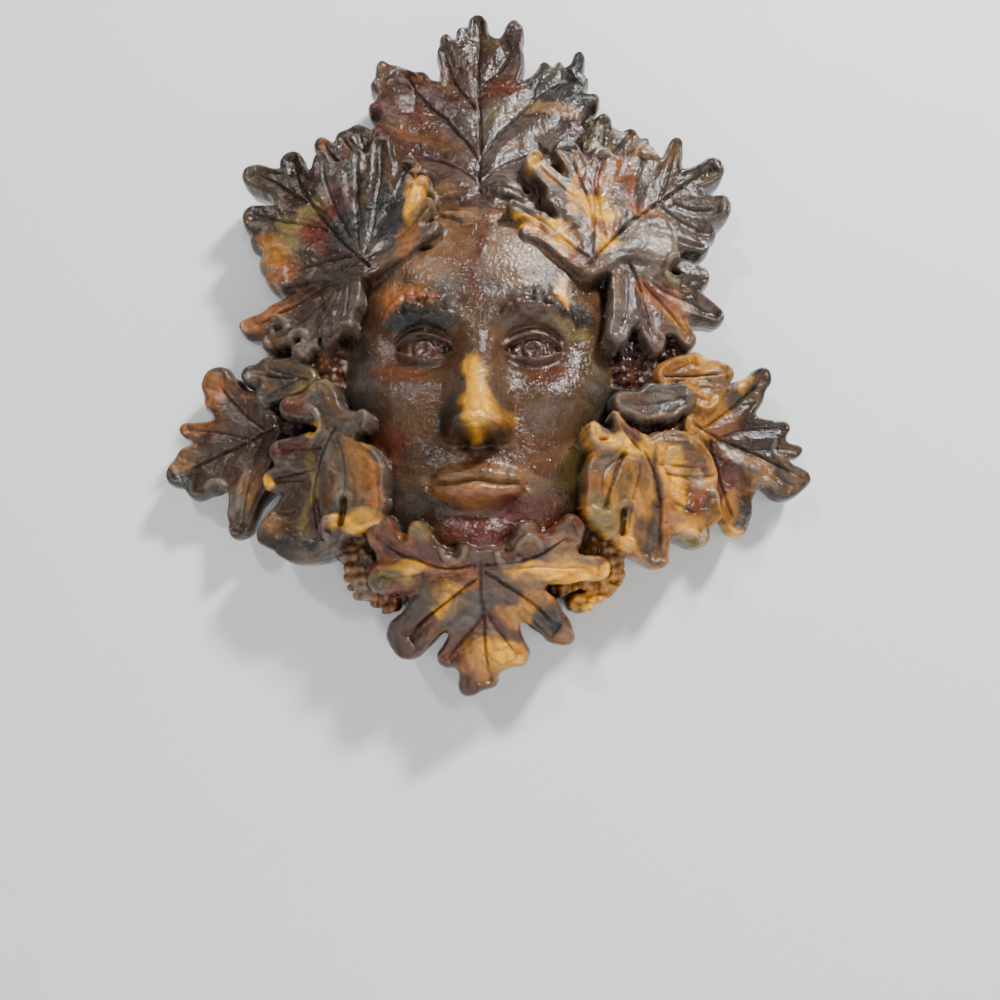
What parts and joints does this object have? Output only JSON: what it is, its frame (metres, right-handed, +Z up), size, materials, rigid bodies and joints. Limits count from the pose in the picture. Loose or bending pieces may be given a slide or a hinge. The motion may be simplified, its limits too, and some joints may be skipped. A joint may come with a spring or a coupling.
{
  "type": "green man wall mask",
  "caption": "Wall mask of a calm face ringed with lobed oak leaves, cast solid with a flat back that lies against the wall.",
  "frame": {"origin": "on the flat back, behind the bridge of the nose", "axes": "+Z up along the face, +Y into the wall, so the face looks along -Y, and +X to the viewer's right"},
  "size_m": [0.1921, 0.0492, 0.2083],
  "materials": {
    "lacquered_casting": "marbled brown, red, slate and ochre casting under glossy clear lacquer"
  },
  "bodies": {
    "root": {"green_man_mask": "lacquered_casting"}
  },
  "joints": []
}
